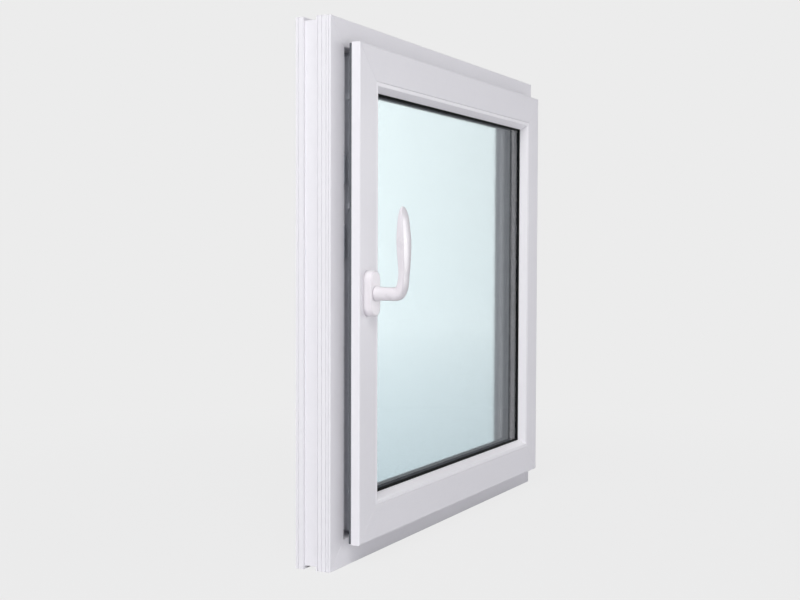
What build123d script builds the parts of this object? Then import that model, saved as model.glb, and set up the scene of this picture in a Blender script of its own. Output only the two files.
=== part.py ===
from build123d import *
from math import cos, pi, sin
import os

# Single-sash window of white plastic profile, its sash parked parallel, a little off the frame.
# X runs to the right as seen from the room, Y from the room to the outdoors, Z up.
# The origin lies under the sill at mid width, on the flat foot that beds on the wall.

# Overall sizes, in millimetres
WINDOW_WIDTH = 830.0
WINDOW_HEIGHT = 830.0
PROFILE_DEPTH = 60.0

# Frame bar: an L of a room part and an outdoor fin
FRAME_FACE = 42.0
FIN_REACH = 20.0
FIN_THICKNESS = 15.0
FRAME_EDGE_ROUND = 1.5
FIN_EDGE_ROUND = 2.5
BED_DEPTH = 19.0
WELD_GROOVE = 0.6

# Wall side of the frame bar, as depths from the room face
WALL_GROOVES = (3.0, 7.4, 14.8, 21.6, 55.3)
WALL_GROOVE_WIDTH = 1.3
WALL_GROOVE_DEPTH = 1.3
ANCHOR_RECESS_START = 24.2
ANCHOR_RECESS_WIDTH = 22.2
ANCHOR_RECESS_DEPTH = 5.0

# Sash bar: a Z of a room flange, a body and an outdoor glazing lip
SASH_OVERLAP = 6.0
HARDWARE_GAP = 12.0
SASH_FACE = 53.0
SASH_FLANGE = 15.0
SASH_EDGE_ROUND = 2.5
SASH_INNER_ROUND = 1.0
LIP_EDGE_ROUND = 6.0
BEAD_NIB = 3.0
CLOSED_GAP = 5.0
PARALLEL_TRAVEL = 10.0

# Hardware channel round the sash edge, measured from the back of the flange
CHANNEL_AXIS = 13.0
RAIL_WIDTH = 16.0
RAIL_THICKNESS = 2.5
CHANNEL_WIDTH = 11.0
CHANNEL_DEPTH = 9.0

# Glazing: a sealed unit of two panes between a bead and the outdoor lip
BEAD_FACE = 14.0
BEAD_FLAT = 6.0
BEAD_SET_BACK = 0.5
BEAD_THICKNESS = 14.3
BEAD_NOSE = 1.6
BEAD_JOINT = 0.3
BEAD_CLIP_AT = 7.0
BEAD_CLIP_WIDTH = 3.4
BEAD_CLIP_DEPTH = 3.0
PANE_THICKNESS = 4.0
PANE_CAVITY = 12.0
PANE_EDGE_GAP = 4.0
SPACER_SET_BACK = 8.4
SPACER_HEIGHT = 7.5
INNER_GASKET = 3.0
INNER_GASKET_LIP = 3.8
INNER_GASKET_WIDTH = 6.0
OUTER_GASKET = 3.5
OUTER_GASKET_WIDTH = 5.0

# Stop seals, each a foot pressed in a groove and a bulb
SEAL_FOOT = 2.5
SEAL_BULB = 4.0
SEAL_HEIGHT = 4.2
SEAL_EDGE = 2.0

# Strikers on the frame, locking cams on the sash rails
KEEP_HEIGHT = 7.0
KEEP_BASE = 2.5
KEEP_WIDTH = 20.0
KEEP_RIDGE = 5.5
KEEP_SET_BACK = 2.0
UPPER_KEEP_LENGTH = 44.0
LOWER_KEEP_LENGTH = 50.0
UPPER_KEEP_DROP = 224.0
LOWER_KEEP_DROP = 334.0
CROSS_KEEP_OFFSET = 130.0
KEEP_RIDGE_ROUND = 1.2
CAM_DIAMETER = 9.0
CAM_HEIGHT = 6.0
UPPER_CAM_DROP = 115.0
LOWER_CAM_DROP = 280.0
CROSS_CAM_OFFSET = 190.0

# Corner bearings that carry and guide the sash
BEARING_OFFSET = 110.0
BEARING_LENGTH = 46.0
BEARING_ROOM = 5.5
BEARING_HEIGHT = 7.0
GUIDE_DEPTH = 46.0
GUIDE_DIAMETER = 8.0
GUIDE_PLAY = 0.3
GUIDE_REACH = 4.0
SHOULDER_DIAMETER = 15.0

# Drain caps on the outdoor face of the sill
DRAIN_OFFSET = 220.0
DRAIN_LENGTH = 42.0
DRAIN_HEIGHT = 12.0
DRAIN_THICKNESS = 4.0
DRAIN_RISE = 14.0

# Handle: a rosette on the left stile and a leaf-shaped lever that points up
HANDLE_ABOVE_MIDDLE = 2.4
ROSETTE_WIDTH = 31.0
ROSETTE_HEIGHT = 70.0
ROSETTE_THICKNESS = 14.0
ROSETTE_CORNER = 14.0
ROSETTE_BEVEL = 2.2
BOSS_DIAMETER = 10.0
BOSS_PITCH = 43.0
BOSS_DEPTH = 6.0
BORE_DIAMETER = 11.0
JOURNAL_DIAMETER = 16.0
JOURNAL_DEPTH = 6.0
RUNNING_FIT = 0.3
SPINDLE_SIZE = 7.0
SPINDLE_REACH = 30.0
NECK_DIAMETER = 23.0
NECK_WAIST = 20.8
GRIP_OUT = 59.4
GRIP_WIDTH = 28.0
GRIP_ROOT_WIDTH = 21.5
GRIP_THICKNESS = 16.3
GRIP_ROOT_THICKNESS = 12.3
LEVER_LENGTH = 131.0

# Right half of the grip's section, from the crowned room face over its crease to the
# narrower back, as shares of the grip's width and thickness
LEAF_HALF = ((0.12, -0.50), (0.32, -0.475), (0.455, -0.43), (0.50, -0.385),
             (0.46, -0.10), (0.41, 0.20), (0.33, 0.42), (0.12, 0.50))

# Places that follow from the sizes above, all from the room face of the part they belong to
FIN_FACE = PROFILE_DEPTH - FIN_THICKNESS
SASH_INSET = FRAME_FACE - SASH_OVERLAP
SASH_BODY = SASH_OVERLAP + HARDWARE_GAP
SASH_WIDTH = WINDOW_WIDTH - 2 * SASH_INSET
SASH_HEIGHT = WINDOW_HEIGHT - 2 * SASH_INSET
REBATE_FLOOR = SASH_FACE - BEAD_NIB
DAYLIGHT_EDGE = SASH_FACE + BEAD_FACE
INNER_PANE_AT = BEAD_THICKNESS + INNER_GASKET
OUTER_PANE_AT = INNER_PANE_AT + PANE_THICKNESS + PANE_CAVITY
LIP_AT = OUTER_PANE_AT + PANE_THICKNESS + OUTER_GASKET
PANE_INSET = REBATE_FLOOR + PANE_EDGE_GAP
RAIL_AT = SASH_FLANGE + CHANNEL_AXIS
FRAME_Y = -BED_DEPTH
SASH_Y = FRAME_Y - CLOSED_GAP - SASH_FLANGE - PARALLEL_TRAVEL
HANDLE_X = -WINDOW_WIDTH / 2 + SASH_INSET + SASH_FACE / 2
HANDLE_Z = WINDOW_HEIGHT / 2 + HANDLE_ABOVE_MIDDLE


def outline(points, rounds=()):
    """Closed section from its corner points, each listed corner rounded to its radius."""
    section = make_face(Polyline(*points, close=True))
    for corner, radius in rounds:
        place = Vector(*corner)
        nearest = min(section.vertices(), key=lambda vertex: (vertex.center() - place).length)
        section = fillet(nearest, radius)
    return section


def strip(start, width, depth_start, depth):
    """Rectangle of a section: from start across by width, and from depth_start by depth."""
    return Pos(start, depth_start) * Rectangle(width, depth, align=(Align.MIN, Align.MIN))


def mitred(section, run):
    """Straight length of a section, both ends cut at 45 degrees for the corner joints."""
    reach = section.bounding_box().max.X
    half_depth = 2 * PROFILE_DEPTH
    cut = Plane.XZ * make_face(
        Polyline((0, 0), (reach, reach), (reach, run - reach), (0, run), close=True))
    return extrude(section, run) & extrude(cut, half_depth, both=True)


def welded(section, run):
    """Mitred length with half of the dressed weld groove along both ends of its room face."""
    bar = mitred(section, run)
    for end, turn in ((0, -45), (run, 45)):
        bar -= Pos(0, 0, end) * Rot(0, turn, 0) * Rot(45, 0, 0) * Box(
            4 * PROFILE_DEPTH, WELD_GROOVE, WELD_GROOVE)
    return bar


def side_planes(width, height, low, room_y):
    """Planes of the four sides of an upright rectangle: x inwards, y outdoors, z along."""
    half = width / 2
    return {
        "left": Plane((-half, room_y, low), x_dir=(1, 0, 0), z_dir=(0, 0, 1)),
        "top": Plane((-half, room_y, low + height), x_dir=(0, 0, -1), z_dir=(1, 0, 0)),
        "right": Plane((half, room_y, low + height), x_dir=(-1, 0, 0), z_dir=(0, 0, -1)),
        "bottom": Plane((half, room_y, low), x_dir=(0, 0, 1), z_dir=(-1, 0, 0)),
    }


FRAME_SIDES = side_planes(WINDOW_WIDTH, WINDOW_HEIGHT, 0, FRAME_Y)
SASH_SIDES = side_planes(SASH_WIDTH, SASH_HEIGHT, SASH_INSET, SASH_Y)


def bars(section, sides, width, height, cut=mitred):
    """Four mitred lengths of a section round a rectangle, by the name of their side."""
    runs = {"left": height, "top": width, "right": height, "bottom": width}
    return {side: plane * cut(section, runs[side]) for side, plane in sides.items()}


def ring(section, sides, width, height):
    """One closed ring of a section round a rectangle, as a seal with joined corners is."""
    lengths = bars(section, sides, width, height)
    return lengths["left"] + lengths["top"] + lengths["right"] + lengths["bottom"]


def frame_section():
    """Frame profile: feet, grooves and anchor recess to the wall, fin to the outdoors."""
    fin_top = FRAME_FACE + FIN_REACH
    section = outline(
        [(0, 0), (FRAME_FACE, 0), (FRAME_FACE, FIN_FACE), (fin_top, FIN_FACE),
         (fin_top, PROFILE_DEPTH), (0, PROFILE_DEPTH)],
        [((0, 0), FRAME_EDGE_ROUND), ((FRAME_FACE, 0), FRAME_EDGE_ROUND),
         ((fin_top, FIN_FACE), FRAME_EDGE_ROUND), ((fin_top, PROFILE_DEPTH), FIN_EDGE_ROUND)])
    for depth in WALL_GROOVES:
        section -= strip(0, WALL_GROOVE_DEPTH, depth - WALL_GROOVE_WIDTH / 2, WALL_GROOVE_WIDTH)
    section -= strip(0, ANCHOR_RECESS_DEPTH, ANCHOR_RECESS_START, ANCHOR_RECESS_WIDTH)
    section -= strip(fin_top - SEAL_EDGE - SEAL_FOOT - FRAME_EDGE_ROUND, SEAL_FOOT, FIN_FACE, SEAL_FOOT)
    return section


def seal_section(foot_start, face, towards):
    """Stop seal: a foot in its groove behind the face and a rounded bulb in front of it."""
    foot_depth = face if towards < 0 else face - SEAL_FOOT
    bulb_depth = face - SEAL_HEIGHT if towards < 0 else face
    bulb_start = foot_start + (SEAL_FOOT - SEAL_BULB) / 2
    bulb = Pos(bulb_start, bulb_depth) * RectangleRounded(
        SEAL_BULB, SEAL_HEIGHT, SEAL_HEIGHT / 4, align=(Align.MIN, Align.MIN))
    return strip(foot_start, SEAL_FOOT, foot_depth, SEAL_FOOT) + bulb


def sash_section():
    """Sash profile: flange, hardware channel, glazing rebate with the bead's groove, and lip."""
    section = outline(
        [(0, 0), (SASH_FACE, 0), (SASH_FACE, BEAD_NIB), (REBATE_FLOOR, BEAD_NIB),
         (REBATE_FLOOR, LIP_AT), (DAYLIGHT_EDGE, LIP_AT), (DAYLIGHT_EDGE, PROFILE_DEPTH),
         (SASH_BODY, PROFILE_DEPTH), (SASH_BODY, SASH_FLANGE), (0, SASH_FLANGE)],
        [((0, 0), SASH_EDGE_ROUND), ((SASH_FACE, 0), SASH_INNER_ROUND),
         ((DAYLIGHT_EDGE, PROFILE_DEPTH), LIP_EDGE_ROUND), ((0, SASH_FLANGE), FRAME_EDGE_ROUND)])
    section -= strip(SASH_BODY, RAIL_THICKNESS, RAIL_AT - RAIL_WIDTH / 2, RAIL_WIDTH)
    section -= strip(SASH_BODY, CHANNEL_DEPTH, RAIL_AT - CHANNEL_WIDTH / 2, CHANNEL_WIDTH)
    section -= strip(SEAL_EDGE, SEAL_FOOT, SASH_FLANGE - SEAL_FOOT, SEAL_FOOT)
    clip_width = BEAD_CLIP_WIDTH + 2 * BEAD_JOINT
    clip_depth = BEAD_CLIP_DEPTH + BEAD_JOINT
    section -= strip(REBATE_FLOOR - clip_depth, clip_depth, BEAD_CLIP_AT - clip_width / 2, clip_width)
    return section


def bead_section():
    """Glazing bead: flat by the sash face, then sloped to the glass, clipped in its groove."""
    front = SASH_FACE + BEAD_JOINT
    heel = BEAD_NIB + BEAD_JOINT
    section = outline(
        [(front, BEAD_SET_BACK), (SASH_FACE + BEAD_FLAT, BEAD_SET_BACK),
         (DAYLIGHT_EDGE, BEAD_THICKNESS - BEAD_NOSE), (DAYLIGHT_EDGE, BEAD_THICKNESS),
         (REBATE_FLOOR, BEAD_THICKNESS), (REBATE_FLOOR, heel), (front, heel)],
        [((SASH_FACE + BEAD_FLAT, BEAD_SET_BACK), BEAD_NOSE)])
    return section + strip(REBATE_FLOOR - BEAD_CLIP_DEPTH, BEAD_CLIP_DEPTH,
                           BEAD_CLIP_AT - BEAD_CLIP_WIDTH / 2, BEAD_CLIP_WIDTH)


def inner_gasket_section():
    """Gasket between bead and glass, its lip showing as a dark line round the pane."""
    back = DAYLIGHT_EDGE - INNER_GASKET_WIDTH
    return outline([(back, BEAD_THICKNESS), (DAYLIGHT_EDGE, BEAD_THICKNESS),
                    (DAYLIGHT_EDGE + INNER_GASKET_LIP, INNER_PANE_AT), (back, INNER_PANE_AT)])


def outer_gasket_section():
    """Gasket between the outdoor lip and the glass."""
    return strip(DAYLIGHT_EDGE - OUTER_GASKET_WIDTH, OUTER_GASKET_WIDTH,
                 LIP_AT - OUTER_GASKET, OUTER_GASKET)


def spacer_section():
    """Spacer bar between the two panes, its inner edge just past the sight line."""
    return strip(PANE_INSET + SPACER_SET_BACK, SPACER_HEIGHT, INNER_PANE_AT + PANE_THICKNESS, PANE_CAVITY)


def rail_section():
    """Face plate of the locking rail, flush in the sash edge."""
    return strip(SASH_BODY, RAIL_THICKNESS, RAIL_AT - RAIL_WIDTH / 2, RAIL_WIDTH)


def pane(depth):
    """One sheet of glass, its room side at this depth from the sash face."""
    width = SASH_WIDTH - 2 * PANE_INSET
    height = SASH_HEIGHT - 2 * PANE_INSET
    place = Pos(0, SASH_Y + depth, WINDOW_HEIGHT / 2)
    return place * Box(width, PANE_THICKNESS, height, align=(Align.CENTER, Align.MIN, Align.CENTER))


def keep(side, along, length):
    """Striker on the frame rebate: a flat base and a ridge that the cam hooks behind."""
    seat = FRAME_SIDES[side] * Pos(FRAME_FACE, KEEP_SET_BACK, along)
    low = (Align.MIN, Align.MIN, Align.CENTER)
    body = Box(KEEP_BASE, KEEP_WIDTH, length, align=low)
    body += Box(KEEP_HEIGHT, KEEP_RIDGE, length, align=low)
    ridge_edges = body.edges().filter_by(Axis.Z).group_by(Axis.X)[-1]
    body = fillet(ridge_edges, KEEP_RIDGE_ROUND)
    body -= Pos(0, KEEP_WIDTH, 0) * Box(2 * KEEP_BASE, KEEP_WIDTH / 2, length / 3)
    return seat * body


def cam(side, along):
    """Round locking cam on a locking rail."""
    stud = Cylinder(CAM_DIAMETER / 2, CAM_HEIGHT, align=(Align.CENTER, Align.CENTER, Align.MIN))
    return SASH_SIDES[side] * Pos(SASH_BODY, RAIL_AT, along) * Rot(0, -90, 0) * stud


def bearing(side, along):
    """Corner bearing on the frame rebate, with the slot that the sash pin slides in."""
    depth_at_rest = SASH_Y + GUIDE_DEPTH - FRAME_Y
    slot_width = GUIDE_DIAMETER + 2 * GUIDE_PLAY
    slot_length = PARALLEL_TRAVEL + slot_width
    slot_middle = depth_at_rest + PARALLEL_TRAVEL / 2
    block = Box(BEARING_HEIGHT, slot_length + 2 * BEARING_ROOM, BEARING_LENGTH,
                align=(Align.MIN, Align.CENTER, Align.CENTER))
    block = chamfer(block.edges().filter_by(Axis.X), BEARING_ROOM / 2)
    slot_face = Plane.YZ.offset(BEARING_HEIGHT) * SlotOverall(slot_length, slot_width)
    block -= extrude(slot_face, -(GUIDE_REACH + GUIDE_PLAY))
    return FRAME_SIDES[side] * Pos(FRAME_FACE, slot_middle, along) * block


def guide_pin(side, along):
    """Sash pin with a shoulder that rests on the corner bearing."""
    shoulder_height = HARDWARE_GAP - BEARING_HEIGHT - GUIDE_PLAY
    inward = Rot(0, -90, 0)
    stand = (Align.CENTER, Align.CENTER, Align.MIN)
    shoulder = Cylinder(SHOULDER_DIAMETER / 2, shoulder_height, align=stand)
    pin = Cylinder(GUIDE_DIAMETER / 2, shoulder_height + GUIDE_REACH, align=stand)
    return SASH_SIDES[side] * Pos(SASH_BODY, GUIDE_DEPTH, along) * inward * (shoulder + pin)


def drain_cap(along):
    """Cover over a drain slot, open at its underside."""
    shell = Box(DRAIN_LENGTH, DRAIN_THICKNESS, DRAIN_HEIGHT, align=(Align.CENTER, Align.MIN, Align.MIN))
    corners = shell.edges().filter_by(Axis.Y)
    shell = fillet(corners, DRAIN_THICKNESS)
    wall = DRAIN_THICKNESS / 2
    shell -= Box(DRAIN_LENGTH - 4 * wall, wall, DRAIN_HEIGHT - wall,
                 align=(Align.CENTER, Align.MIN, Align.MIN))
    return Pos(along, FRAME_Y + PROFILE_DEPTH, DRAIN_RISE) * shell


def handle_place(out, rise=0.0):
    """Place on the handle axis, out from the sash face towards the room and up by rise."""
    return Pos(HANDLE_X, SASH_Y - out, HANDLE_Z + rise)


def towards_room(out):
    """Place on the handle axis whose Z points to the room."""
    return handle_place(out) * Rot(90, 0, 0)


def handle_holes():
    """Bores in the stile for the spindle and for the two bosses of the rosette."""
    stand = (Align.CENTER, Align.CENTER, Align.MAX)
    spindle_depth = SPINDLE_REACH + 2 * RUNNING_FIT
    holes = Cylinder(BORE_DIAMETER / 2, spindle_depth, align=stand)
    for end in (-1, 1):
        holes += Pos(0, end * BOSS_PITCH / 2, 0) * Cylinder(
            BOSS_DIAMETER / 2 + RUNNING_FIT, BOSS_DEPTH + RUNNING_FIT, align=stand)
    return towards_room(0) * holes


def rosette():
    """Cover of the handle's bearing, with two bosses that drop into the stile."""
    plate = extrude(RectangleRounded(ROSETTE_WIDTH, ROSETTE_HEIGHT, ROSETTE_CORNER), ROSETTE_THICKNESS)
    front = plate.edges().group_by(Axis.Z)[-1]
    plate = chamfer(front, ROSETTE_BEVEL)
    for end in (-1, 1):
        plate += Pos(0, end * BOSS_PITCH / 2, 0) * Cylinder(
            BOSS_DIAMETER / 2, BOSS_DEPTH, align=(Align.CENTER, Align.CENTER, Align.MAX))
    plate -= Cylinder(BORE_DIAMETER / 2, ROSETTE_THICKNESS, align=(Align.CENTER, Align.CENTER, Align.MIN))
    journal_floor = ROSETTE_THICKNESS - JOURNAL_DEPTH
    plate -= Pos(0, 0, journal_floor) * Cylinder(
        JOURNAL_DIAMETER / 2 + RUNNING_FIT, JOURNAL_DEPTH, align=(Align.CENTER, Align.CENTER, Align.MIN))
    return towards_room(0) * plate


def lever_loop(width, thickness, leaf):
    """Closed loop of the lever's section: a round at leaf 0, the leaf-shaped grip at 1."""
    right = []
    for number, (across, through) in enumerate(LEAF_HALF):
        turn = pi * ((number + 0.5) / len(LEAF_HALF) - 0.5)
        right.append((width * ((1 - leaf) * cos(turn) / 2 + leaf * across),
                      thickness * ((1 - leaf) * sin(turn) / 2 + leaf * through)))
    left = [(-across, through) for across, through in reversed(right)]
    return make_face(Polyline(*right, *left, close=True))


def lever():
    """Lever: a round neck, a tight elbow, and a leaf-shaped grip lofted through its sections."""
    neck_start = ROSETTE_THICKNESS + RUNNING_FIT
    stations = [
        (neck_start, 0.0, 0, NECK_DIAMETER, NECK_DIAMETER, 0.0),
        (0.45 * GRIP_OUT, 0.0, 0, NECK_WAIST, NECK_WAIST, 0.0),
        (0.74 * GRIP_OUT, 0.0, 0, NECK_WAIST, NECK_WAIST, 0.0),
        (GRIP_OUT - 8.9, 0.8, 16, NECK_WAIST, 1.01 * NECK_WAIST, 0.2),
        (GRIP_OUT - 4.7, 3.8, 29, NECK_WAIST, 0.98 * NECK_WAIST, 0.45),
        (GRIP_OUT - 1.8, 10.0, 45, GRIP_ROOT_WIDTH, 0.84 * NECK_WAIST, 0.75),
        (GRIP_OUT - 0.2, 19.0, 68, GRIP_ROOT_WIDTH, 1.1 * GRIP_ROOT_THICKNESS, 1.0),
        (GRIP_OUT + 0.6, 28.0, 84, GRIP_ROOT_WIDTH, GRIP_ROOT_THICKNESS, 1.0),
        (GRIP_OUT + 1.0, 0.28 * LEVER_LENGTH, 90, 1.02 * GRIP_ROOT_WIDTH, 1.07 * GRIP_ROOT_THICKNESS, 1.0),
        (GRIP_OUT + 0.8, 0.41 * LEVER_LENGTH, 90, 0.93 * GRIP_WIDTH, 0.92 * GRIP_THICKNESS, 1.0),
        (GRIP_OUT + 0.2, 0.54 * LEVER_LENGTH, 91, GRIP_WIDTH, GRIP_THICKNESS, 1.0),
        (GRIP_OUT - 0.2, 0.66 * LEVER_LENGTH, 91, GRIP_WIDTH, 0.98 * GRIP_THICKNESS, 1.0),
        (GRIP_OUT - 0.5, 0.79 * LEVER_LENGTH, 91, 0.92 * GRIP_WIDTH, 0.8 * GRIP_THICKNESS, 1.0),
        (GRIP_OUT - 0.7, 0.86 * LEVER_LENGTH, 92, 0.83 * GRIP_WIDTH, 0.7 * GRIP_THICKNESS, 1.0),
        (GRIP_OUT - 0.8, 0.92 * LEVER_LENGTH, 92, 0.74 * GRIP_WIDTH, 0.53 * GRIP_THICKNESS, 1.0),
        (GRIP_OUT - 0.9, 0.975 * LEVER_LENGTH, 92, 0.47 * GRIP_WIDTH, 0.34 * GRIP_THICKNESS, 0.9),
        (GRIP_OUT - 0.9, LEVER_LENGTH, 92, 0.18 * GRIP_WIDTH, 0.16 * GRIP_THICKNESS, 0.6),
    ]
    loops = []
    for out, rise, lift, width, thickness, leaf in stations:
        facing = handle_place(out, rise) * Rot(90 - lift, 0, 0)
        loops.append(facing * lever_loop(width, thickness, leaf))
    journal = towards_room(ROSETTE_THICKNESS - JOURNAL_DEPTH + RUNNING_FIT) * Cylinder(
        JOURNAL_DIAMETER / 2, JOURNAL_DEPTH, align=(Align.CENTER, Align.CENTER, Align.MIN))
    socket = towards_room(0) * Box(SPINDLE_SIZE, SPINDLE_SIZE, 2 * (ROSETTE_THICKNESS + JOURNAL_DEPTH))
    return (loft(loops, ruled=True) + journal) - socket


def spindle():
    """Square bar from the lever through the rosette into the lock case."""
    head = ROSETTE_THICKNESS + JOURNAL_DEPTH
    bar = Box(SPINDLE_SIZE, SPINDLE_SIZE, head + SPINDLE_REACH, align=(Align.CENTER, Align.CENTER, Align.MAX))
    return towards_room(head) * bar


frame_bars = bars(frame_section(), FRAME_SIDES, WINDOW_WIDTH, WINDOW_HEIGHT, welded)
sash_bars = bars(sash_section(), SASH_SIDES, SASH_WIDTH, SASH_HEIGHT, welded)
bead_bars = bars(bead_section(), SASH_SIDES, SASH_WIDTH, SASH_HEIGHT)
rail_bars = bars(rail_section(), SASH_SIDES, SASH_WIDTH, SASH_HEIGHT)
sash_bars["left"] -= handle_holes()

frame_seal_start = FRAME_FACE + FIN_REACH - SEAL_EDGE - SEAL_FOOT - FRAME_EDGE_ROUND
frame_seal_section = seal_section(frame_seal_start, FIN_FACE, -1)
sash_seal_section = seal_section(SEAL_EDGE, SASH_FLANGE, 1)


def from_top(drop):
    """Distance along a jamb of the frame, counted up from the sill."""
    return WINDOW_HEIGHT - drop


jamb_keeps = ((from_top(UPPER_KEEP_DROP), UPPER_KEEP_LENGTH), (from_top(LOWER_KEEP_DROP), LOWER_KEEP_LENGTH))
jamb_cams = (from_top(UPPER_CAM_DROP), from_top(LOWER_CAM_DROP))
middle = WINDOW_WIDTH / 2
sash_middle = SASH_WIDTH / 2
cross_signs = (-1, 1)

left_keeps = [keep("left", along, length) for along, length in jamb_keeps]
right_keeps = [keep("right", WINDOW_HEIGHT - along, length) for along, length in jamb_keeps]
head_keeps = [keep("top", middle + s * CROSS_KEEP_OFFSET, UPPER_KEEP_LENGTH) for s in cross_signs]
sill_keeps = [keep("bottom", middle + s * CROSS_KEEP_OFFSET, UPPER_KEEP_LENGTH) for s in cross_signs]
cams = [cam("left", along - SASH_INSET) for along in jamb_cams]
cams += [cam("right", SASH_HEIGHT - (along - SASH_INSET)) for along in jamb_cams]
cams += [cam(side, sash_middle + s * CROSS_CAM_OFFSET) for side in ("top", "bottom") for s in cross_signs]
bearing_runs = (BEARING_OFFSET, WINDOW_WIDTH - BEARING_OFFSET)
bearings = [bearing(side, run) for side in ("top", "bottom") for run in bearing_runs]
pins = [guide_pin(side, run - SASH_INSET) for side in ("top", "bottom") for run in bearing_runs]
drains = [drain_cap(s * DRAIN_OFFSET) for s in cross_signs]

nodes = {
    "frame_left_jamb": frame_bars["left"],
    "frame_right_jamb": frame_bars["right"],
    "frame_head": frame_bars["top"],
    "frame_sill": frame_bars["bottom"],
    "frame_seal": ring(frame_seal_section, FRAME_SIDES, WINDOW_WIDTH, WINDOW_HEIGHT),
    "left_keeps": Compound(left_keeps),
    "right_keeps": Compound(right_keeps),
    "head_keeps": Compound(head_keeps),
    "sill_keeps": Compound(sill_keeps),
    "corner_bearings": Compound(bearings),
    "drain_caps": Compound(drains),
    "sash_left_stile": sash_bars["left"],
    "sash_right_stile": sash_bars["right"],
    "sash_top_rail": sash_bars["top"],
    "sash_bottom_rail": sash_bars["bottom"],
    "bead_left": bead_bars["left"],
    "bead_right": bead_bars["right"],
    "bead_top": bead_bars["top"],
    "bead_bottom": bead_bars["bottom"],
    "inner_pane": pane(INNER_PANE_AT),
    "outer_pane": pane(OUTER_PANE_AT),
    "pane_spacer": ring(spacer_section(), SASH_SIDES, SASH_WIDTH, SASH_HEIGHT),
    "inner_glazing_gasket": ring(inner_gasket_section(), SASH_SIDES, SASH_WIDTH, SASH_HEIGHT),
    "outer_glazing_gasket": ring(outer_gasket_section(), SASH_SIDES, SASH_WIDTH, SASH_HEIGHT),
    "sash_seal": ring(sash_seal_section, SASH_SIDES, SASH_WIDTH, SASH_HEIGHT),
    "lock_rail_left": rail_bars["left"],
    "lock_rail_right": rail_bars["right"],
    "lock_rail_top": rail_bars["top"],
    "lock_rail_bottom": rail_bars["bottom"],
    "locking_cams": Compound(cams),
    "guide_pins": Compound(pins),
    "handle_rosette": rosette(),
    "handle_lever": lever(),
    "handle_spindle": spindle(),
}

os.makedirs("parts", exist_ok=True)
for name, shape in nodes.items():
    export_step(shape, f"parts/{name}.step")
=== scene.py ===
"""Looks of the parallel opening window: finishes, smooth handle, fasteners and the studio."""

import logging
import math
from dataclasses import dataclass, replace
from enum import Enum
from typing import Any, Iterable, Sequence

import bmesh
import bpy
from mathutils import Matrix, Vector


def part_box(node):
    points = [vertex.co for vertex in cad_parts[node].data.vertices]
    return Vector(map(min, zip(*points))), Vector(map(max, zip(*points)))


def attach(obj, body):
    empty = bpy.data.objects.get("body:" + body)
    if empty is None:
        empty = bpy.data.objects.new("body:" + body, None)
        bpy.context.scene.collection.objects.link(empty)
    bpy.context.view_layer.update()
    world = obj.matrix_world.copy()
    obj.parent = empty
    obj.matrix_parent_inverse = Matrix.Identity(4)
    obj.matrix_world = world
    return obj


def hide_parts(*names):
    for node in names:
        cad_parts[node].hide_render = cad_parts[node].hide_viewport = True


LOG = logging.getLogger("parallel_window")
MM = 0.001

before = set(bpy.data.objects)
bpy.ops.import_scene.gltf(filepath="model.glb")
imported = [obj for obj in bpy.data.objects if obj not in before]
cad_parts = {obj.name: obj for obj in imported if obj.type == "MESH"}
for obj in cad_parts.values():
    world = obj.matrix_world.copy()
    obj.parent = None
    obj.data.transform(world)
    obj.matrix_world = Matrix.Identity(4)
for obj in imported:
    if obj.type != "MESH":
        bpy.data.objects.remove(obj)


class Run(Enum):
    """Direction in which a bar was extruded."""

    UPRIGHT = "upright"
    CROSS = "cross"


class Body(Enum):
    """Bodies that the pieces ride on."""

    FRAME = "frame"
    SASH = "sash"
    HANDLE = "handle"


def linear_rgba(colour: str) -> tuple[float, float, float, float]:
    """Turn an sRGB hex colour into the linear colour that a shader socket takes.

    Args:
        colour: Six hex digits after a hash sign.

    Returns:
        Linear red, green and blue, and an alpha of 1.
    """
    channels = [int(colour[place:place + 2], 16) / 255 for place in (1, 3, 5)]
    red, green, blue = (share / 12.92 if share <= 0.04045 else ((share + 0.055) / 1.055) ** 2.4
                        for share in channels)
    return red, green, blue, 1.0


def add_node(tree: bpy.types.NodeTree, kind: str, settings: dict[str, Any] | None = None,
             inputs: dict[Any, Any] | None = None) -> bpy.types.Node:
    """Add a node with its settings, its socket values and its links.

    Args:
        tree: Node tree that gets the node.
        kind: Blender's type name of the node.
        settings: Properties of the node by name.
        inputs: Input sockets by name or number, each with a value or the output socket to link.

    Returns:
        The new node.
    """
    node = tree.nodes.new(kind)
    for name, value in (settings or {}).items():
        setattr(node, name, value)
    for name, value in (inputs or {}).items():
        if isinstance(value, bpy.types.NodeSocket):
            tree.links.new(value, node.inputs[name])
        else:
            node.inputs[name].default_value = value
    return node


def start_material(name: str) -> tuple[bpy.types.Material, bpy.types.NodeTree]:
    """Make an empty node material.

    Args:
        name: Name of the finish.

    Returns:
        The material and its node tree.
    """
    material = bpy.data.materials.new(name)
    material.use_nodes = True
    material.node_tree.nodes.clear()
    return material, material.node_tree


def dress_nodes(names: Iterable[str], material: bpy.types.Material) -> None:
    """Give CAD nodes a material.

    Args:
        names: Node names.
        material: Finish for all of them.
    """
    for name in names:
        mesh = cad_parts[name].data
        mesh.materials.clear()
        mesh.materials.append(material)
        LOG.info("%s: %s", name, material.name)


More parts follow.
